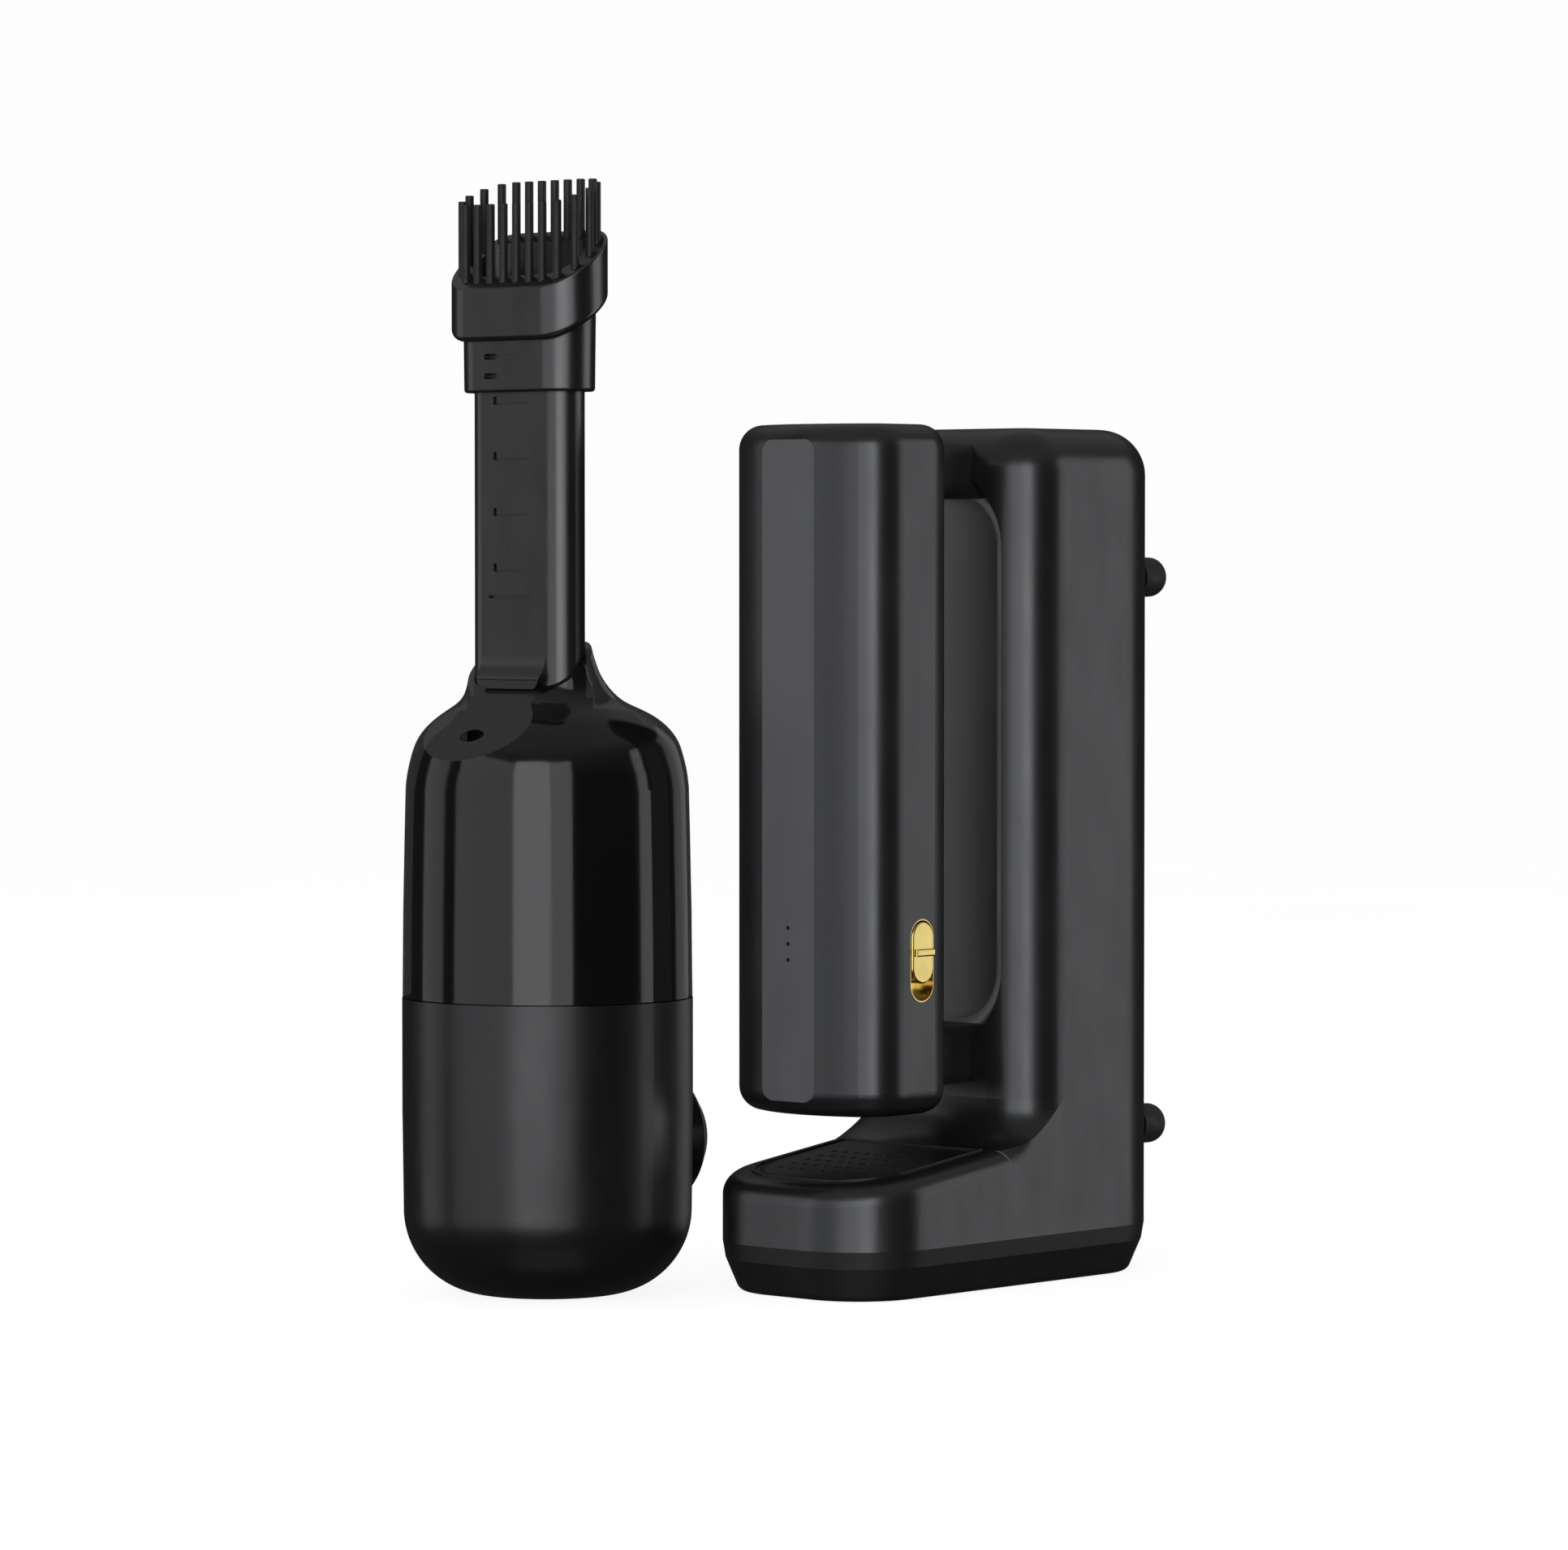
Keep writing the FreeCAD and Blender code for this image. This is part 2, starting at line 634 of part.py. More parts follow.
def bristle_spots():
    """Evenly spaced points round the flattened loop."""
    straight = 2 * HEAD_FLAT
    bend = math.pi * BRISTLE_LOOP_R
    total = 2 * (straight + bend)
    spots = []
    for k in range(BRISTLE_COUNT):
        s = total * (k + 0.5) / BRISTLE_COUNT
        if s < straight:
            spots.append((-HEAD_FLAT + s, -BRISTLE_LOOP_R))
        elif s < straight + bend:
            a = (s - straight) / BRISTLE_LOOP_R - math.pi / 2
            spots.append((HEAD_FLAT + BRISTLE_LOOP_R * math.cos(a), BRISTLE_LOOP_R * math.sin(a)))
        elif s < 2 * straight + bend:
            spots.append((HEAD_FLAT - (s - straight - bend), BRISTLE_LOOP_R))
        else:
            a = (s - 2 * straight - bend) / BRISTLE_LOOP_R + math.pi / 2
            spots.append((-HEAD_FLAT + BRISTLE_LOOP_R * math.cos(a), BRISTLE_LOOP_R * math.sin(a)))
    return spots


def head_top(y):
    return HEAD_TOP + HEAD_TOP_SLOPE * (y + HEAD_R)


def head_under(y):
    return HEAD_FRONT + HEAD_LOW_SLOPE * (y - NY + HEAD_R)


def make_bristles():
    rods = []
    for dx, dy in bristle_spots():
        root = head_top(dy) - 5.0
        tip = 268.6 + 0.42 * dy
        rod = disc(BRISTLE_R, root, tip - 0.15, VX + dx, NY + dy)
        crown = Part.makeCone(BRISTLE_R, BRISTLE_R - 0.15, 0.15, vec(VX + dx, NY + dy, tip - 0.15))
        rods.append(rod.fuse(crown))
    return Part.makeCompound(rods)


def make_head():
    block = stadium(HEAD_FLAT, HEAD_R, 225, 275)
    block = block.cut(tilted_cut(NY - HEAD_R, HEAD_TOP, HEAD_TOP_SLOPE, True))
    block = block.cut(tilted_cut(NY - HEAD_R, HEAD_FRONT, HEAD_LOW_SLOPE, False))
    block = rounded(block, 1.6, lambda p: p.z < head_under(p.y) + 0.1)
    block = rounded(block, 0.7, lambda p: p.z > head_top(p.y - NY) - 0.1)
    body = block.cut(stadium(NOZZLE_FLAT, NOZZLE_R + SLIDE_GAP, 200, 280))
    body = body.cut(stadium(SLEEVE_FLAT, SLEEVE_R, 200, SLEEVE_TOP).cut(sleeve_top()))
    shadow_gap = stadium(SLEEVE_FLAT, SLEEVE_R + 0.9, 220, 260)
    shadow_gap = shadow_gap.cut(tilted_cut(NY - HEAD_R, HEAD_FRONT + 1.2, HEAD_LOW_SLOPE, True))
    return body.cut(shadow_gap).cut(make_bristles())


# ---------------------------------------------------------------- stand
def plan_wire(inset, y_front, r_front, z):
    """Rounded plan of the stand at a height, moved in by a wall."""
    hx = STAND_HALF_X - inset
    y0 = y_front + inset
    y1 = STAND_HALF_Y - inset
    rf = r_front - inset
    rr = REAR_R - inset
    k = 1 - math.sqrt(0.5)
    path = [
        (-hx + rf, y0),
        (hx - rf, y0),
        (hx - k * rf, y0 + k * rf, hx, y0 + rf),
        (hx, y1 - rr),
        (hx - k * rr, y1 - k * rr, hx - rr, y1),
        (-hx + rr, y1),
        (-hx + k * rr, y1 - k * rr, -hx, y1 - rr),
        (-hx, y0 + rf),
        (-hx + k * rf, y0 + k * rf, -hx + rf, y0),
    ]
    return wire(path, lambda x, y: vec(x, y, z))


def plan(inset, y_front, r_front, z0, z1):
    return Part.Face(plan_wire(inset, y_front, r_front, z0)).extrude(vec(0, 0, z1 - z0))


def foot_z(y):
    return FOOT_REF_Z + FOOT_SLOPE * (y - FOOT_REF_Y)


def make_foot(inset):
    """Sloped foot, with its top edge rounded when it is the outside."""
    front = -STAND_HALF_Y
    body = plan(inset, front, TOE_R, BASE_SPLIT, 60)
    path = [(-80, foot_z(-80) - inset), (80, foot_z(80) - inset), (80, 90), (-80, 90)]
    body = body.cut(side_prism(path, -50, 50)).common(box(-50, 50, -80, 30, 0, 90))
    if inset:
        return body
    top = [e for e in body.Edges if all(v.Point.z > foot_z(v.Point.y) - 0.01 for v in e.Vertexes)]
    top = [e for e in top if e.BoundBox.YMin < 29.9]
    return body.makeFillet(FOOT_EDGE, top)


def make_web():
    """Concave rounding where the foot runs up into the column."""
    slope = math.atan(FOOT_SLOPE)
    zf = foot_z(COLUMN_FRONT)
    zc = zf - WEB_R * math.tan(slope) + WEB_R / math.cos(slope)
    toe = (WEB_R - WEB_R * math.sin(slope), zc - WEB_R * math.cos(slope))
    a = math.radians(225) + slope / 2
    mid = (WEB_R + WEB_R * math.cos(a), zc + WEB_R * math.sin(a))
    path = [(-3, zf - 6), (toe[0], zf - 6), toe, mid + (0, zc), (-3, zc)]
    y0 = COLUMN_FRONT
    hx = STAND_HALF_X - COLUMN_EDGE_R
    run = Part.Face(wire(path, lambda d, z: vec(-hx, y0 - d, z))).extrude(vec(2 * hx, 0, 0))
    parts = [run]
    for side in (-1, 1):
        x = side * hx
        face = Part.Face(wire(path, lambda d, z: vec(x, y0 - d, z)))
        parts.append(face.revolve(vec(x, y0 + COLUMN_EDGE_R, 0), vec(0, 0, 1), side * 90))
    web = parts[0].multiFuse(parts[1:])
    return web.common(web_limit())


def web_limit():
    """Foot and column as one bent bar with rounded edges, which trims the sides of the web."""
    slope = math.atan(FOOT_SLOPE)
    yc = COLUMN_FRONT - WEB_R
    zc = foot_z(yc) + WEB_R / math.cos(slope)
    start = (yc + WEB_R * math.sin(slope), zc - WEB_R * math.cos(slope))
    a = (slope - math.pi / 2) / 2
    mid = (yc + WEB_R * math.cos(a), zc + WEB_R * math.sin(a))
    toe = -STAND_HALF_Y - 1
    path = [(toe, BASE_SPLIT), (toe, foot_z(toe)), start, mid + (COLUMN_FRONT, zc), (COLUMN_FRONT, 90)]
    bar = side_prism(path + [(40, 90), (40, BASE_SPLIT)], -40, 40)
    bar = bar.common(plan(0, -STAND_HALF_Y, TOE_R, BASE_SPLIT, 90))
    return bar.makeFillet(FOOT_EDGE, [e for e in bar.Edges if outer_edge(e)])


def outer_edge(edge):
    """Top edge of the foot and the edges that run on from it up the column."""
    box_ = edge.BoundBox
    flat = box_.XLength > 2 * (STAND_HALF_X - 0.1)
    return box_.ZMin > BASE_SPLIT + 0.1 and box_.YMax < COLUMN_FRONT + 0.1 and box_.ZMax < 90.1 and not flat


def finger_recess():
    y1 = COLUMN_FRONT + RECESS_DEPTH
    tool = slot_y(RECESS_HALF, RECESS_Z0, RECESS_Z1, COLUMN_FRONT - 8.5, y1, 0)
    return rounded(tool, RECESS_FILLET, lambda p: p.y > y1 - 1e-4)


def neck(z0, z1):
    bar = box(-NECK_HALF_X, NECK_HALF_X, -21.0, COLUMN_FRONT + RECESS_DEPTH + 1.3, z0, z1)
    return bar.makeFillet(3.0, [e for e in bar.Edges if abs(e.BoundBox.YLength) > 5])


UPPER_NECK = neck(194.5, 208.5)
LOWER_NECK = neck(49.5, 64.0)


def grille_frame_tilt(shape):
    return shape.rotate(vec(0, FOOT_REF_Y, FOOT_REF_Z), vec(1, 0, 0), math.degrees(math.atan(FOOT_SLOPE)))


def grille_plan(inset, h0, h1):
    """Toe-shaped plate laid in the plane of the foot's top."""
    hx = GRILLE_HALF_X - inset
    y0 = GRILLE_FRONT + inset
    y1 = GRILLE_BACK - inset
    r = TOE_R - (STAND_HALF_X - GRILLE_HALF_X) - inset
    k = 1 - math.sqrt(0.5)
    path = [
        (-hx + r, y0), (hx - r, y0), (hx - k * r, y0 + k * r, hx, y0 + r),
        (hx, y1), (-hx, y1), (-hx, y0 + r), (-hx + k * r, y0 + k * r, -hx + r, y0),
    ]
    face = Part.Face(wire(path, lambda x, y: vec(x, y, FOOT_REF_Z + h0)))
    return face.extrude(vec(0, 0, h1 - h0))


def toe_dots(inset, count):
    """Points along the toe of the plate."""
    hx = GRILLE_HALF_X - inset
    y0 = GRILLE_FRONT + inset
    r = TOE_R - (STAND_HALF_X - GRILLE_HALF_X) - inset
    flat = 2 * (hx - r)
    bend = math.pi * r / 2
    total = flat + 2 * bend
    dots = []
    for k in range(count):
        s = total * (k + 0.5) / count
        if s < bend:
            a = math.pi + s / r
            dots.append((-hx + r + r * math.cos(a), y0 + r + r * math.sin(a)))
        elif s < bend + flat:
            dots.append((-hx + r + s - bend, y0))
        else:
            a = 1.5 * math.pi + (s - bend - flat) / r
            dots.append((hx - r + r * math.cos(a), y0 + r + r * math.sin(a)))
    return dots


def make_grille():
    plate = grille_plan(0.15, -1.6, -0.1)
    rim = grille_plan(0.15, -0.2, 0.35).cut(grille_plan(1.1, -1, 1))
    holes = [disc(0.62, FOOT_REF_Z - 3, FOOT_REF_Z + 1, x, y) for x, y in toe_dots(2.6, 30)]
    for row in range(5):
        for column in range(-4, 5):
            x = 3.6 * column
            y = GRILLE_FRONT + 11.0 + 5.0 * row
            holes.append(disc(0.8, FOOT_REF_Z - 3, FOOT_REF_Z + 1, x, y))
    return grille_frame_tilt(plate.fuse(rim).cut(Part.makeCompound(holes)))


def make_stand_body():
    column = plan_column(0, COLUMN_TOP)
    column = column.makeFillet(TOP_FILLET, edges_at(column, above(COLUMN_TOP)))
    outer = column.multiFuse([make_foot(0), make_web()])
    hollow = plan_column(WALL, COLUMN_TOP - WALL)
    hollow = hollow.makeFillet(TOP_FILLET - WALL, edges_at(hollow, above(COLUMN_TOP - WALL)))
    front = COLUMN_FRONT + RECESS_DEPTH + WALL
    hollow = hollow.common(box(-50, 50, front, 80, 0, 300))
    foot_room = make_foot(WALL + 0.5).common(box(-50, 50, -80, front + 2, 0, 90))
    body = outer.cut(hollow).cut(foot_room).cut(finger_recess())
    seat = grille_frame_tilt(grille_plan(0, -1.6, 3))
    window = grille_frame_tilt(grille_plan(1.6, -6, 3))
    tools = [seat, window, inlet_hole(), UPPER_NECK, LOWER_NECK, make_bumpers()]
    return body.cut(Part.makeCompound(tools))


def plan_column(inset, top):
    return plan(inset, COLUMN_FRONT, COLUMN_EDGE_R, BASE_SPLIT, top)


def inlet_hole():
    hole = box(-2.9, 2.9, 50, 65, 22.4, 25.6)
    return hole.multiFuse([rod_y(1.6, 50, 65, s, 24.0) for s in (-2.9, 2.9)])


def make_bumpers():
    domes = []
    for x in (-18.0, 18.0):
        for z in (36.4, 175.0):
            pin = rod_y(5.0, 55.0, BUMPER_Y, x, z)
            dome = pin.makeFillet(3.5, [e for e in pin.Edges if e.BoundBox.YMin > BUMPER_Y - 0.1])
            domes.append(dome)
    return Part.makeCompound(domes)


def base_screw_spots():
    return [(x, y) for x in (-14.0, 14.0) for y in (-36.0, 38.0)]


def foot_pad_spots():
    return [(x, y) for x in (-12.0, 12.0) for y in (-46.0, 46.0)]


def tapered(inset, z0):
    """Plan of the base, drawn in a little at the waist and more at the bottom."""
    rows = [(z0, BASE_TAPER), (BASE_WAIST, 0.7), (BASE_SPLIT, 0.0)]
    wires = [plan_wire(inset + more, -STAND_HALF_Y, TOE_R, z) for z, more in rows]
    return Part.makeLoft(wires, True, True)


def make_stand_base():
    block = tapered(0, BASE_UNDER)
    block = block.makeFillet(2.6, edges_at(block, below(BASE_UNDER)))
    body = block.cut(tapered(WALL, BASE_UNDER + WALL))
    bosses = [disc(3.4, 1.5, BASE_SPLIT, x, y) for x, y in base_screw_spots()]
    body = body.multiFuse(bosses)
    tools = [disc(5.0, 0, 1.8, x, y) for x, y in foot_pad_spots()]
    tools.append(disc(9.0, 0, 1.8, 0, 0))
    for x, y in base_screw_spots():
        tools.append(disc(2.6, 0, 3.4, x, y))
        tools.append(disc(1.25, 0, 20, x, y))
    return body.cut(Part.makeCompound(tools))


def make_base_feet():
    pads = [disc(5.0, 0, 1.8, x, y) for x, y in foot_pad_spots()]
    return Part.makeCompound(pads + [disc(9.0, 0, 1.8, 0, 0)])


def make_stand_screws():
    screws = []
    for x, y in base_screw_spots():
        screw = disc(2.4, 1.6, 3.4, x, y).fuse(disc(1.2, 3.4, 12.0, x, y))
        screws.append(screw.cut(box(x - 0.3, x + 0.3, y - 1.7, y + 1.7, 1, 2.4)))
    return Part.makeCompound(screws)


def make_ballast():
    plate = box(-18, 18, -28, 28, 3.1, 8.1)
    return plate.makeFillet(4.0, [e for e in plate.Edges if e.BoundBox.ZLength > 4])


def make_charger_board():
    board = box(-16, 16, 47.0, 48.6, 14.0, 78.0)
    chips = [box(-10, 2, 43.0, 47.0, 40, 54), box(5, 13, 44.5, 47.0, 60, 70), box(-12, -5, 45.2, 47.0, 20, 28)]
    return board.multiFuse(chips)


def make_power_inlet():
    outer = box(-2.9, 2.9, 48.6, 59.0, 22.5, 25.5)
    outer = outer.multiFuse([rod_y(1.5, 48.6, 59.0, s, 24.0) for s in (-2.9, 2.9)])
    hollow = box(-2.9, 2.9, 52, 60, 23.0, 25.0)
    hollow = hollow.multiFuse([rod_y(1.0, 52, 60, s, 24.0) for s in (-2.9, 2.9)])
    return outer.cut(hollow).fuse(box(-2.4, 2.4, 51.5, 58.4, 23.7, 24.3))


# ---------------------------------------------------------------- grip
def grip_solid(inset):
    z0 = GRIP_Z0 + inset
    section = Part.Face(flat_sided_wire(GRIP_OFF_X, GRIP_OFF_Y, GRIP_R - inset, GRIP_ANGLE, z0, 0, GRIP_Y))
    body = section.extrude(vec(0, 0, GRIP_Z1 - inset - z0))
    ends = [e for e in body.Edges if e.BoundBox.ZLength < 0.01]
    return body.makeFillet(6.0 - inset, ends)


def led_heights():
    return [LED_TOP - LED_PITCH * k for k in range(3)]


def grip_screw_heights():
    return (70.0, 184.0)


def switch_opening():
    return slot_x(POCKET_HALF_Y, POCKET_Z0, POCKET_Z1, 18, 30, SWITCH_Y)


def make_grip_shell():
    body = grip_solid(0).cut(grip_solid(GRIP_WALL))
    facet = box(-FACET_HALF, FACET_HALF, FACET_Y - 4, FACET_Y, 48, 208.5)
    facet = facet.makeFillet(3.0, [e for e in facet.Edges if e.BoundBox.YLength > 2])
    body = body.cut(facet)
    posts = []
    for z in grip_screw_heights():
        posts.append(rod_y(3.2, FACET_Y + 0.6, GRIP_BACK - GRIP_WALL - 0.2, 0, z))
    body = body.common(box(-40, 40, -80, GRIP_SPLIT, 0, 300))
    body = body.multiFuse([p.common(grip_solid(0.5)) for p in posts])
    tools = [rod_y(0.5, FACET_Y - 1, FACET_Y + 6, 0, z) for z in led_heights()]
    tools += [rod_y(1.25, GRIP_SPLIT - 8, GRIP_SPLIT + 9, 0, z) for z in grip_screw_heights()]
    return body.cut(Part.makeCompound(tools + [switch_opening()]))


def make_grip_back():
    body = grip_solid(0).cut(grip_solid(GRIP_WALL))
    body = body.common(box(-40, 40, GRIP_SPLIT, 0, 0, 300))
    tools = [UPPER_NECK, LOWER_NECK]
    for z in grip_screw_heights():
        tools.append(rod_y(1.25, GRIP_SPLIT - 2, -10, 0, z))
        tools.append(rod_y(2.6, GRIP_BACK - 1.4, -10, 0, z))
    return body.cut(Part.makeCompound(tools))


def make_grip_screws():
    screws = []
    for z in grip_screw_heights():
        head = GRIP_BACK - 1.4
        screw = rod_y(2.4, head, head + 1.0, 0, z).fuse(rod_y(1.2, -27.0, head, 0, z))
        screws.append(screw.cut(box(-1.6, 1.6, head + 0.5, head + 2, z - 0.3, z + 0.3)))
    return Part.makeCompound(screws)


def make_grip_cells():
    cells = []
    for x in (-9.4, 9.4):
        cells.append(disc(9.2, 104.0, 168.2, x, GRIP_Y).fuse(disc(3.2, 168.0, 169.0, x, GRIP_Y)))
    return Part.makeCompound(cells)


def make_cell_carrier():
    lower = stadium(9.4, 9.2, 102.2, 104.0, 0, GRIP_Y)
    upper = stadium(9.4, 9.2, 169.0, 170.8, 0, GRIP_Y)
    back = box(-9.4, 9.4, GRIP_Y - 11.0, GRIP_Y - 9.2, 102.2, 170.8)
    ends = [box(-9.4, 9.4, GRIP_Y - 9.6, GRIP_Y, z, z + 1.8) for z in (102.2, 169.0)]
    return lower.multiFuse([upper, back] + ends)


def make_level_board():
    y0 = FACET_Y + 5.0
    board = box(-6, 6, y0, y0 + 1.4, 76, 98)
    return board.fuse(box(-3.5, 3.5, y0 + 1.4, y0 + 3.0, 90, 96))


def make_level_lights():
    return Part.makeCompound([rod_y(0.5, FACET_Y + 0.15, FACET_Y + 5.0, 0, z) for z in led_heights()])


def make_switch_pocket():
    tray = slot_x(POCKET_HALF_Y, POCKET_Z0, POCKET_Z1, 20.0, 26.0, SWITCH_Y).common(grip_solid(0.1))
    return tray.cut(slot_x(POCKET_HALF_Y - 0.3, POCKET_Z0 + 0.3, POCKET_Z1 - 0.3, 21.6, 30, SWITCH_Y))


def make_slide_switch():
    z1 = SWITCH_Z0 + SWITCH_LEN
    base = slot_x(SWITCH_HALF_Y, SWITCH_Z0, z1, 21.7, SWITCH_OUT, SWITCH_Y)
    base = rounded(base, 0.5, lambda p: p.x > SWITCH_OUT - 0.01)
    middle = (SWITCH_Z0 + z1) / 2
    rib = box(SWITCH_OUT - 0.6, SWITCH_OUT + 1.0, SWITCH_Y - 3.5, SWITCH_Y + 3.5, middle - 0.9, middle + 0.9)
    rib = rounded(rib, 0.4, lambda p: p.x > SWITCH_OUT + 0.99)
    return base.fuse(rib)


PARTS = {
    "motor_housing": make_housing,
    "base_cap": make_base_cap,
    "foot_ring": lambda: ring(6.5, 10.0, 0, 1.5),
    "base_screws": make_base_screws,
    "cell_holder": make_cell_holder,
    "battery_cells": make_battery,
    "button_bezel": make_bezel,
    "power_button": make_button,
    "button_switch": make_button_switch,
    "control_board": make_control_board,
    "charge_port": make_charge_port,
    "motor_can": make_motor_can,
    "rear_bearing": lambda: make_bearing(MOTOR_Z0),
    "front_bearing": lambda: make_bearing(MOTOR_Z1 - 2.4),
    "rotor_shaft": make_shaft,
    "impeller": make_impeller,
    "motor_mount": make_motor_mount,
    "diffuser": make_diffuser,
    "fan_shroud": make_fan_shroud,
    "exhaust_filter": make_exhaust_filter,
    "deck_plate": make_deck,
    "deck_screws": make_deck_screws,
    "seal_ring": make_seal,
    "filter_frame": make_filter_frame,
    "filter_pleats": make_pleats,
    "mesh_screen": make_mesh_screen,
    "dust_cup": make_dust_cup,
    "nozzle_socket": make_socket,
    "inlet_flap": make_flap,
    "crevice_nozzle": make_nozzle,
    "brush_sleeve": make_sleeve,
    "brush_head": make_head,
    "brush_bristles": make_bristles,
    "stand_body": make_stand_body,
    "stand_base": make_stand_base,
    "base_feet": make_base_feet,
    "stand_screws": make_stand_screws,
    "ballast_plate": make_ballast,
    "charger_board": make_charger_board,
    "power_inlet": make_power_inlet,
    "foot_grille": make_grille,
    "upper_neck": lambda: UPPER_NECK,
    "lower_neck": lambda: LOWER_NECK,
    "wall_bumpers": make_bumpers,
    "grip_shell": make_grip_shell,
    "grip_back": make_grip_back,
    "grip_screws": make_grip_screws,
    "grip_cells": make_grip_cells,
    "cell_carrier": make_cell_carrier,
    "level_board": make_level_board,
    "level_lights": make_level_lights,
    "switch_pocket": make_switch_pocket,
    "slide_switch": make_slide_switch,
}

for name, maker in PARTS.items():
    save(name, maker())
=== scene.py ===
import json
import math

import bpy
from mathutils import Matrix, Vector

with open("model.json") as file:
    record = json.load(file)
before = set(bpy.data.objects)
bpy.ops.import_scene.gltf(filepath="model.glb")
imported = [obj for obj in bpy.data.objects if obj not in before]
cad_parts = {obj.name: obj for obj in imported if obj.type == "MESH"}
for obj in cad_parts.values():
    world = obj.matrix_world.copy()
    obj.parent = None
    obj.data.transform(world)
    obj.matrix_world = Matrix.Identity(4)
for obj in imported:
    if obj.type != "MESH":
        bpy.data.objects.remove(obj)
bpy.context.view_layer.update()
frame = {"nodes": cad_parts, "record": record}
NODES = frame["nodes"]

# ------------------------------------------------------------------ camera
CAMERA_AT = Vector((1.0505, -1.2232, 0.1794))
CAMERA_AZIMUTH = math.radians(42.0)
CAMERA_PITCH = math.radians(1.9)
CAMERA_LENS = 149.0
SENSOR_WIDTH = 36.0
CLIP_END = 50.0

ahead = Vector((-math.sin(CAMERA_AZIMUTH), math.cos(CAMERA_AZIMUTH), -math.tan(CAMERA_PITCH)))
camera = bpy.data.objects.new("camera", bpy.data.cameras.new("camera"))
camera.data.lens = CAMERA_LENS
camera.data.sensor_width = SENSOR_WIDTH
camera.data.clip_end = CLIP_END
camera.location = CAMERA_AT
camera.rotation_mode = "QUATERNION"
camera.rotation_quaternion = ahead.to_track_quat("-Z", "Y")
bpy.context.scene.collection.objects.link(camera)
bpy.context.scene.camera = camera
bpy.context.scene.view_settings.view_transform = "Standard"


# ------------------------------------------------------------------ materials
NOISE_ROUGHNESS = 0.5
NOISE_LOW = 0.3
NOISE_HIGH = 0.7
MOULD_GRAIN_DEPTH = 0.00006
RUBBER_GRAIN_DEPTH = 0.00008
BRUSHED_DEPTH = 0.00004
FIBRE_DEPTH = 0.0002
SMOKED_WAVE_DEPTH = 0.0004


class Nodes:
    """Short helper for building a node tree round one Principled shader."""

    def __init__(self, name):
        self.material = bpy.data.materials.new(name)
        self.material.use_nodes = True
        self.tree = self.material.node_tree
        self.shader = self.tree.nodes["Principled BSDF"]
        self.coords = self.tree.nodes.new("ShaderNodeTexCoord")

    def add(self, kind, **values):
        node = self.tree.nodes.new(kind)
        for key, value in values.items():
            if key in node.inputs:
                node.inputs[key].default_value = value
            else:
                setattr(node, key, value)
        return node

    def link(self, source, target):
        self.tree.links.new(source, target)

    def noise(self, scale, detail=3.0, stretch=None):
        node = self.add("ShaderNodeTexNoise", Scale=scale, Detail=detail, Roughness=NOISE_ROUGHNESS)
        source = self.coords.outputs["Object"]
        if stretch:
            mapping = self.add("ShaderNodeMapping", Scale=stretch)
            self.link(source, mapping.inputs["Vector"])
            source = mapping.outputs["Vector"]
        self.link(source, node.inputs["Vector"])
        return node.outputs["Fac"]

    def ramp(self, fac, low, high):
        """Maps a noise value, which stays near its middle, between two numbers."""
        node = self.add("ShaderNodeMapRange")
        node.inputs["From Min"].default_value = NOISE_LOW
        node.inputs["From Max"].default_value = NOISE_HIGH
        node.inputs["To Min"].default_value = low
        node.inputs["To Max"].default_value = high
        self.link(fac, node.inputs["Value"])
        return node.outputs["Result"]

    def tint(self, fac, dark, light):
        node = self.add("ShaderNodeMix", data_type="RGBA")
        ends = {"A": (*dark, 1.0), "B": (*light, 1.0)}
        for socket in node.inputs:
            if socket.type == "RGBA" and socket.name in ends:
                socket.default_value = ends[socket.name]
        self.link(fac, node.inputs["Factor"])
        return [o for o in node.outputs if o.type == "RGBA"][0]

    def bump(self, height, strength, distance):
        node = self.add("ShaderNodeBump", Strength=strength, Distance=distance)
        self.link(height, node.inputs["Height"])
        return node.outputs["Normal"]

    def set(self, **values):
        for key, value in values.items():
            self.shader.inputs[key.replace("_", " ")].default_value = value


def moulded(name, dark, light, rough_low, rough_high, grain=0.12, grain_scale=2600.0, specular=0.5):
    """Moulded plastic: fine spark-eroded grain, slow mottling and faint handling marks."""
    n = Nodes(name)
    slow = n.noise(38.0, 4.0)
    n.link(n.tint(n.ramp(slow, 0.0, 1.0), dark, light), n.shader.inputs["Base Color"])
    marks = n.noise(130.0, 5.0, (1.0, 1.0, 0.35))
    n.link(n.ramp(marks, rough_low, rough_high), n.shader.inputs["Roughness"])
    n.link(n.bump(n.noise(grain_scale, 2.0), grain, MOULD_GRAIN_DEPTH), n.shader.inputs["Normal"])
    n.set(Specular_IOR_Level=specular)
    return n.material


def smoked(name):
    """Polished smoked plastic that lets a little of the inside through."""
    n = Nodes(name)
    slow = n.noise(25.0, 3.0)
    n.link(n.tint(n.ramp(slow, 0.0, 1.0), (0.0045, 0.0045, 0.005), (0.006, 0.006, 0.0065)),
           n.shader.inputs["Base Color"])
    wipe = n.noise(90.0, 5.0, (1.0, 1.0, 0.3))
    n.link(n.ramp(wipe, 0.08, 0.13), n.shader.inputs["Roughness"])
    n.link(n.bump(n.noise(16.0, 1.0), 0.05, SMOKED_WAVE_DEPTH), n.shader.inputs["Normal"])
    n.set(Specular_IOR_Level=0.5, IOR=1.5, Alpha=0.88)
    return n.material


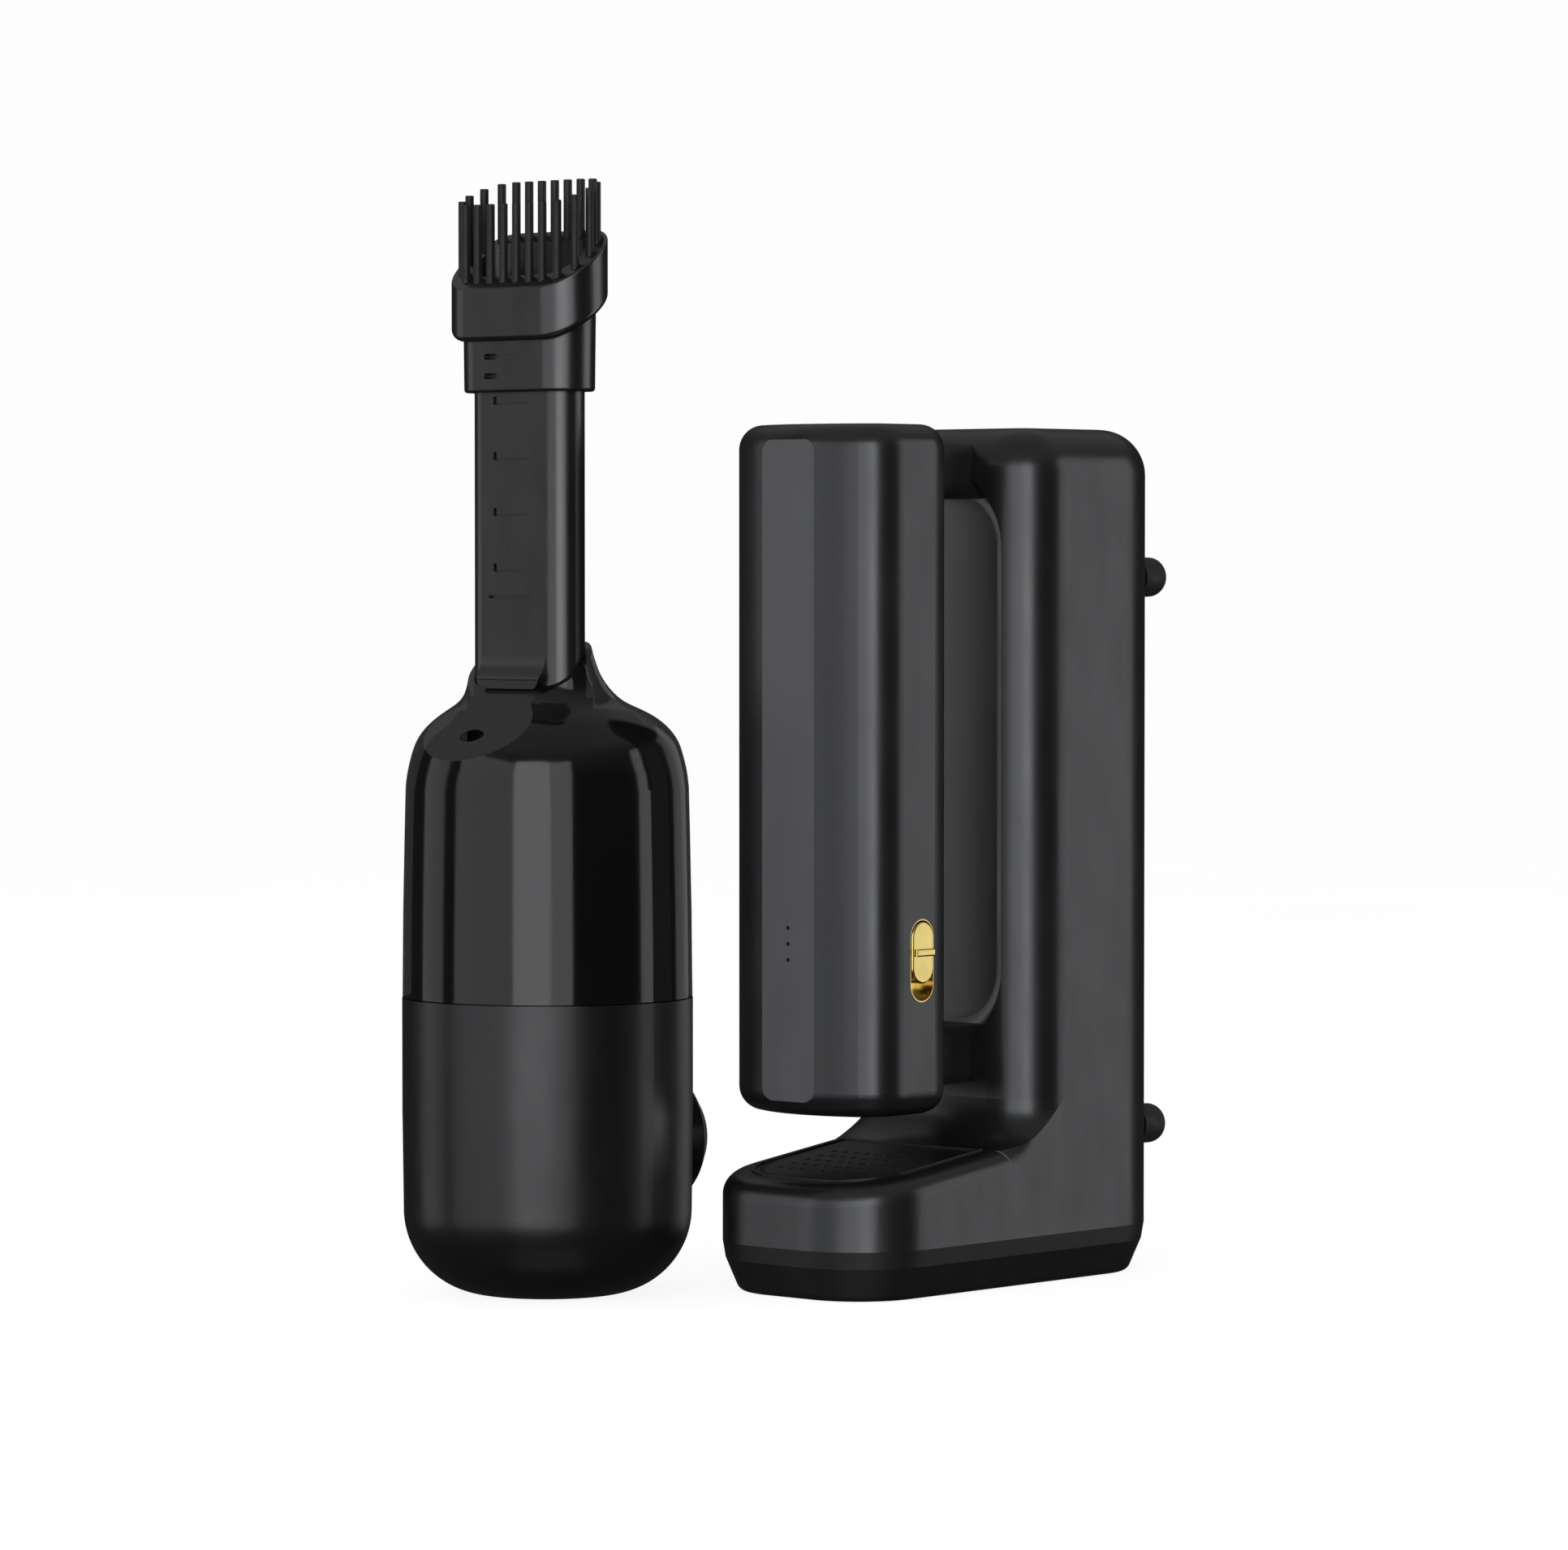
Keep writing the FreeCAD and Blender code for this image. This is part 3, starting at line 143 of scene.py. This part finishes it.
def metal(name, dark, light, rough_low, rough_high, stretch=None, brushed=0.0):
    """Bare or plated metal, brushed along one way where stretch and brushed are given."""
    n = Nodes(name)
    slow = n.noise(60.0, 3.0)
    n.link(n.tint(n.ramp(slow, 0.0, 1.0), dark, light), n.shader.inputs["Base Color"])
    fine = n.noise(500.0, 4.0, stretch)
    n.link(n.ramp(fine, rough_low, rough_high), n.shader.inputs["Roughness"])
    if brushed:
        n.link(n.bump(fine, brushed, BRUSHED_DEPTH), n.shader.inputs["Normal"])
    n.set(Metallic=1.0)
    return n.material


def rubber(name, dark, light, rough_low=0.55, rough_high=0.72):
    """Soft rubber or silicone with a fine grain and a weak sheen."""
    n = Nodes(name)
    n.link(n.tint(n.ramp(n.noise(70.0, 4.0), 0.0, 1.0), dark, light), n.shader.inputs["Base Color"])
    n.link(n.ramp(n.noise(300.0, 4.0), rough_low, rough_high), n.shader.inputs["Roughness"])
    n.link(n.bump(n.noise(1500.0, 3.0), 0.2, RUBBER_GRAIN_DEPTH), n.shader.inputs["Normal"])
    n.set(Specular_IOR_Level=0.4, Sheen_Weight=0.05, Sheen_Roughness=0.5)
    return n.material


def fibre(name, dark, light, scale=900.0):
    """Filter paper or foam: rough, matt and uneven."""
    n = Nodes(name)
    patches = n.noise(scale * 0.3, 5.0)
    n.link(n.tint(n.ramp(patches, 0.0, 1.0), dark, light), n.shader.inputs["Base Color"])
    n.link(n.ramp(n.noise(scale, 4.0), 0.75, 0.95), n.shader.inputs["Roughness"])
    n.link(n.bump(n.noise(scale, 5.0), 0.5, FIBRE_DEPTH), n.shader.inputs["Normal"])
    return n.material


# Colours are linear; the two numbers after them are the roughness range.
SHELL = moulded("shell_black", (0.0062, 0.0065, 0.0072), (0.0082, 0.0085, 0.0092), 0.27, 0.34)
BASE = moulded("base_black", (0.0060, 0.0063, 0.0070), (0.0078, 0.0081, 0.0088), 0.33, 0.40)
NOZZLE = moulded("nozzle_satin", (0.0055, 0.0058, 0.0064), (0.0072, 0.0075, 0.0081), 0.26, 0.32,
                 grain=0.06, specular=0.9)
CUP = smoked("cup_smoke")
BRISTLE = rubber("bristle", (0.0075, 0.0075, 0.008), (0.0105, 0.0105, 0.011), 0.46, 0.58)
SOFT = rubber("soft_black", (0.009, 0.009, 0.010), (0.014, 0.014, 0.015))
GOLD = metal("gold", (0.50, 0.38, 0.12), (0.60, 0.48, 0.18), 0.16, 0.23)
BUTTON = moulded("button_gloss", (0.009, 0.0093, 0.010), (0.012, 0.0123, 0.013), 0.26, 0.32,
                 grain=0.05)
STEEL = metal("steel", (0.5, 0.5, 0.52), (0.65, 0.65, 0.67), 0.25, 0.4,
              stretch=(1.0, 1.0, 0.1), brushed=0.2)
MOTOR = metal("motor_metal", (0.32, 0.33, 0.35), (0.42, 0.43, 0.45), 0.3, 0.45)
FAN = moulded("fan_grey", (0.2, 0.21, 0.22), (0.26, 0.27, 0.28), 0.4, 0.5)
PAPER = fibre("filter_white", (0.62, 0.60, 0.55), (0.78, 0.76, 0.71))
FOAM = fibre("foam_dark", (0.02, 0.02, 0.02), (0.05, 0.05, 0.05), scale=1400.0)
MESH = metal("mesh_steel", (0.4, 0.41, 0.43), (0.55, 0.56, 0.58), 0.3, 0.45)
BOARD = moulded("board_green", (0.02, 0.12, 0.05), (0.03, 0.17, 0.07), 0.3, 0.4)
CELL = moulded("cell_sleeve", (0.05, 0.15, 0.28), (0.07, 0.19, 0.34), 0.2, 0.3)
BALLAST = metal("ballast", (0.08, 0.08, 0.085), (0.14, 0.14, 0.145), 0.5, 0.7)
LIGHT = moulded("light_grey", (0.004, 0.004, 0.004), (0.008, 0.008, 0.008), 0.2, 0.3)
CARRIER = moulded("carrier_grey", (0.03, 0.03, 0.032), (0.045, 0.045, 0.048), 0.45, 0.55)

LOOK = {
    "shell_black": SHELL, "base_black": BASE, "nozzle_satin": NOZZLE, "cup_smoke": CUP,
    "bristle": BRISTLE, "soft_black": SOFT, "gold": GOLD, "button_gloss": BUTTON, "steel": STEEL,
    "motor_metal": MOTOR, "fan_grey": FAN, "filter_white": PAPER, "foam_dark": FOAM,
    "mesh_steel": MESH, "board_green": BOARD, "cell_sleeve": CELL, "ballast": BALLAST,
    "light_grey": LIGHT, "carrier_grey": CARRIER,
}
slot_of = {row["node"]: row["material_slot"] for row in frame["record"]["subparts"]}
for name, node in NODES.items():
    for slot in node.material_slots:
        slot.material = LOOK[slot_of[name]]

# ------------------------------------------------------------------ stage
RING = 96
FLOOR_R = 12.0
FLOOR_GLOW = 0.90

floor_mesh = bpy.data.meshes.new("floor")
turns = [2 * math.pi * k / RING for k in range(RING)]
points = [(FLOOR_R * math.cos(turn), FLOOR_R * math.sin(turn), 0.0) for turn in turns]
floor_mesh.from_pydata(points, [], [tuple(range(RING))])
floor = bpy.data.objects.new("floor", floor_mesh)
bpy.context.scene.collection.objects.link(floor)
n = Nodes("floor")
n.link(n.tint(n.ramp(n.noise(6.0, 4.0), 0.0, 1.0), (0.30, 0.30, 0.30), (0.33, 0.33, 0.33)),
       n.shader.inputs["Base Color"])
n.set(Roughness=0.8, Specular_IOR_Level=0.1)
n.set(Emission_Color=(1.0, 1.0, 1.0, 1.0), Emission_Strength=FLOOR_GLOW)
floor_mesh.materials.append(n.material)
# The floor is seen but not mirrored, so the black pieces keep their dark undersides.
floor.visible_glossy = False
floor.visible_diffuse = False
floor.visible_transmission = False
floor.visible_shadow = False

# The room that the pieces mirror is dark low down and pale overhead; the camera sees plain white.
SKY_LOW = 0.03
SKY_HIGH = 0.32
SKY_START = 0.25
SKY_FULL = 0.75
BACKDROP_WHITE = 0.985

world = bpy.data.worlds.new("world")
bpy.context.scene.world = world
world.use_nodes = True
tree = world.node_tree
backdrop = tree.nodes["Background"]
direction = tree.nodes.new("ShaderNodeTexCoord")
split = tree.nodes.new("ShaderNodeSeparateXYZ")
height = tree.nodes.new("ShaderNodeMapRange")
height.interpolation_type = "SMOOTHSTEP"
height.inputs["From Min"].default_value = SKY_START
height.inputs["From Max"].default_value = SKY_FULL
height.inputs["To Min"].default_value = SKY_LOW
height.inputs["To Max"].default_value = SKY_HIGH
tree.links.new(direction.outputs["Generated"], split.inputs["Vector"])
tree.links.new(split.outputs["Z"], height.inputs["Value"])
tree.links.new(height.outputs["Result"], backdrop.inputs["Color"])
seen = tree.nodes.new("ShaderNodeBackground")
seen.inputs["Color"].default_value = (BACKDROP_WHITE, BACKDROP_WHITE, BACKDROP_WHITE, 1.0)
path = tree.nodes.new("ShaderNodeLightPath")
mix = tree.nodes.new("ShaderNodeMixShader")
tree.links.new(path.outputs["Is Camera Ray"], mix.inputs["Fac"])
tree.links.new(backdrop.outputs[0], mix.inputs[1])
tree.links.new(seen.outputs[0], mix.inputs[2])
tree.links.new(mix.outputs[0], tree.nodes["World Output"].inputs["Surface"])

# ------------------------------------------------------------------ lights
CENTRE = Vector((-0.012, -0.028, 0.125))
TOWARDS = Vector((math.sin(CAMERA_AZIMUTH), -math.cos(CAMERA_AZIMUTH), 0.0))
RIGHT = Vector((math.cos(CAMERA_AZIMUTH), math.sin(CAMERA_AZIMUTH), 0.0))
LIGHT_COLOUR = (0.96, 0.975, 1.0)
LIGHT_DISTANCE = 2.0
LIGHT_HEIGHT = 0.35
LIGHT_TALL = 1.6
LIGHT_TILT = 0.4
UNDER_DISTANCE = 1.2
UNDER_HEIGHT = -2.2


def softbox(name, degrees, width, watts, distance=LIGHT_DISTANCE, height=LIGHT_HEIGHT):
    """A soft light, placed by its angle to the right of the camera and turned to the middle."""
    a = math.radians(degrees)
    light = bpy.data.lights.new(name, "AREA")
    light.shape = "RECTANGLE"
    light.size = width
    light.size_y = LIGHT_TALL
    light.energy = watts
    light.color = LIGHT_COLOUR
    lamp = bpy.data.objects.new(name, light)
    lamp.location = CENTRE + distance * (math.cos(a) * TOWARDS + math.sin(a) * RIGHT)
    lamp.location.z = height
    aim = CENTRE - lamp.location
    aim.z *= LIGHT_TILT
    lamp.rotation_mode = "QUATERNION"
    lamp.rotation_quaternion = aim.to_track_quat("-Z", "Y")
    lamp.visible_camera = False
    bpy.context.scene.collection.objects.link(lamp)
    return lamp


def through(lamp, lit_nodes, passed_bodies):
    """Lets a light reach one object past the other, which stands in its way."""
    lit = bpy.data.collections.new(lamp.name + "_lit")
    passed = bpy.data.collections.new(lamp.name + "_passed")
    for node_name in lit_nodes:
        lit.objects.link(NODES[node_name])
    for body in passed_bodies:
        for node_name in BODIES[body]:
            passed.objects.link(NODES[node_name])
    lamp.light_linking.receiver_collection = lit
    lamp.light_linking.blocker_collection = passed
    for item in passed.collection_objects:
        item.light_linking.link_state = "EXCLUDE"


BODIES = frame["record"]["behaviour"]["bodies"]
STAND = ["stand", "switch"]
CLEANER = [body for body in BODIES if body not in STAND]

# Each row gives the angle, the width in metres and the watts.
softbox("key", -12.0, 1.07, 15.0)
softbox("key_edge", 11.5, 0.6, 5.2)
softbox("under", 0.0, 2.0, 1.8, UNDER_DISTANCE, UNDER_HEIGHT)
softbox("left_fill", -52.0, 1.85, 9.5)
softbox("left_box", -101.0, 0.9, 3.4)
softbox("right_box", 96.5, 1.15, 8.3)
through(softbox("grip_box", -84.0, 1.5, 12.5), ["grip_shell", "grip_back"], CLEANER)
through(softbox("stand_box", -84.0, 1.5, 8.5), ["stand_body", "stand_base", "foot_grille"], CLEANER)
through(softbox("stand_key", 12.0, 0.6, 10.0), ["grip_shell", "stand_body", "stand_base"], CLEANER)
through(softbox("right_rear", 140.0, 1.0, 1.9),
        ["dust_cup", "motor_housing", "button_bezel", "power_button"], STAND)
